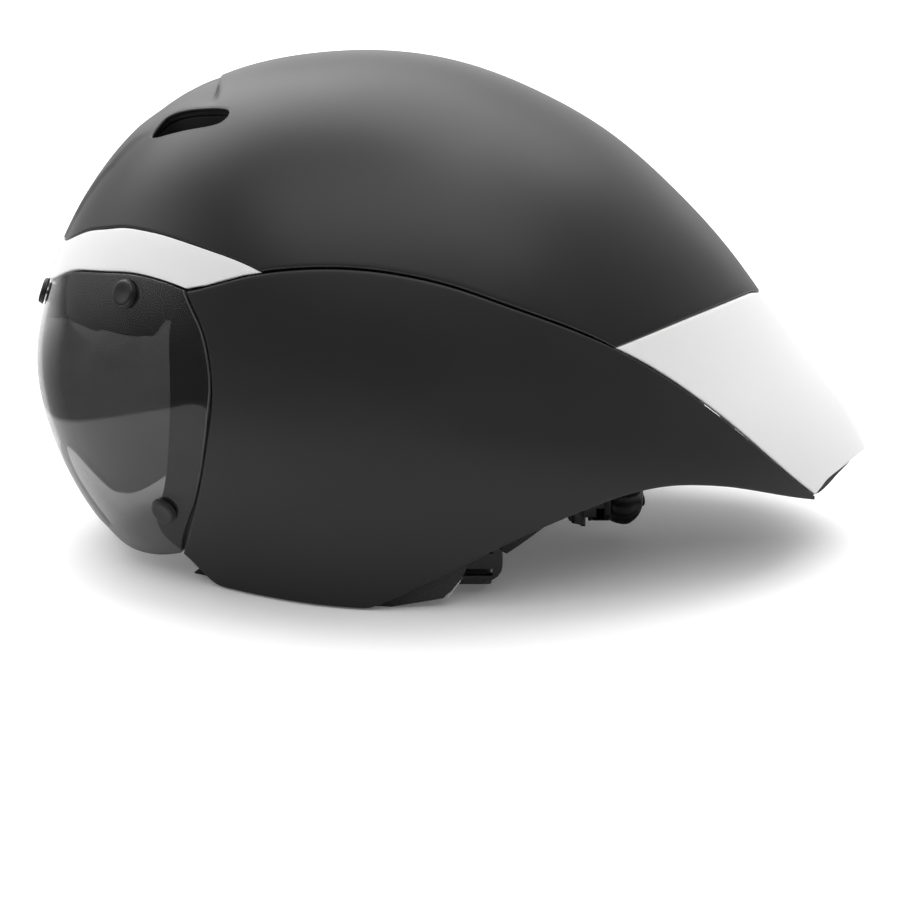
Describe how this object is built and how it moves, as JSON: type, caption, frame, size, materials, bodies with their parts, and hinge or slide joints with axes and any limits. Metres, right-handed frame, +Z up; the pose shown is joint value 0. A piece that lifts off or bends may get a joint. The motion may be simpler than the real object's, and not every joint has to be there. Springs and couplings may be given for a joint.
{
  "type": "aero helmet",
  "caption": "Long-tailed time-trial cycling helmet with side panels over the ears, a magnetic smoke visor, front vents, straps and a dial-adjusted fit cradle.",
  "frame": {"origin": "on the floor that the helmet stands on, under the middle of its length and width", "axes": "+X towards the tail, the visor faces -X, the wearer's left is -Y, +Z up"},
  "size_m": [0.3624, 0.208, 0.2145],
  "materials": {
    "charcoal_shell": "matte paint",
    "white_shell": "satin white paint",
    "foam": "black beaded foam",
    "black_plastic": "moulded, satin",
    "pad_cloth": "soft cloth over foam",
    "hook_tape": "hook tape",
    "webbing": "woven webbing",
    "smoke_lens": "clear smoke, polished",
    "steel": "zinc plated",
    "magnet": "nickel plated",
    "rubber": "soft black rubber"
  },
  "bodies": {
    "helmet": {"crown_shell": "charcoal_shell", "side_panel_left": "charcoal_shell", "side_panel_right": "charcoal_shell", "brow_band": "white_shell", "tail_fairing": "white_shell", "foam_liner": "foam", "tail_underside": "black_plastic", "vent_duct_left": "black_plastic", "vent_duct_right": "black_plastic", "brow_rail": "black_plastic", "temple_pins": "black_plastic", "strap_anchors": "black_plastic", "divider_left": "black_plastic", "divider_right": "black_plastic", "buckle_socket": "black_plastic", "brow_pad": "pad_cloth", "crown_pad": "pad_cloth", "side_pad_left": "pad_cloth", "side_pad_right": "pad_cloth", "ear_pad_left": "pad_cloth", "ear_pad_right": "pad_cloth", "pad_hook_dots": "hook_tape", "strap_front_left": "webbing", "strap_front_right": "webbing", "strap_rear_left": "webbing", "strap_rear_right": "webbing", "chin_strap_left": "webbing", "chin_strap_right": "webbing", "strap_end_left": "webbing", "steel_seats": "steel"},
    "visor": {"visor_lens": "smoke_lens", "visor_buttons": "black_plastic", "visor_magnets": "magnet", "nose_guard": "rubber"},
    "cradle": {"cradle_yoke": "black_plastic", "dial_housing": "black_plastic", "housing_cover": "black_plastic", "nape_pad": "pad_cloth"},
    "dial": {"dial_knob": "black_plastic", "dial_pinion": "black_plastic"},
    "left_wing": {"rack_left": "black_plastic", "wing_pad_left": "pad_cloth"},
    "right_wing": {"rack_right": "black_plastic", "wing_pad_right": "pad_cloth"},
    "buckle_plug_end": {"buckle_plug": "black_plastic", "plug_strap": "webbing", "strap_keeper": "black_plastic"}
  },
  "joints": [
    {"name": "visor_pull", "type": "slide", "parent": "helmet", "child": "visor", "axis": [-1, 0, 0], "range_m": [0, 0.08]},
    {"name": "cradle_tilt", "type": "hinge", "parent": "helmet", "child": "cradle", "pos_m": [-0.06, 0, 0.078], "axis": [0, -1, 0], "range_deg": [0, 6]},
    {"name": "dial_turn", "type": "hinge", "parent": "cradle", "child": "dial", "pos_m": [0.07, 0, 0.02], "axis": [-1, 0, 0], "range_deg": [0, 179]},
    {"name": "left_wing_slide", "type": "slide", "parent": "cradle", "child": "left_wing", "axis": [0, 1, 0], "range_m": [0, 0.01]},
    {"name": "right_wing_slide", "type": "slide", "parent": "cradle", "child": "right_wing", "axis": [0, -1, 0], "range_m": [0, 0.01]},
    {"name": "buckle_release", "type": "slide", "parent": "helmet", "child": "buckle_plug_end", "axis": [0, 1, 0], "range_m": [0, 0.02]}
  ],
  "couplings": [
    {"joint": "left_wing_slide", "follows": "dial_turn", "m_per_rad": 0.0032},
    {"joint": "right_wing_slide", "follows": "dial_turn", "m_per_rad": 0.0032}
  ]
}
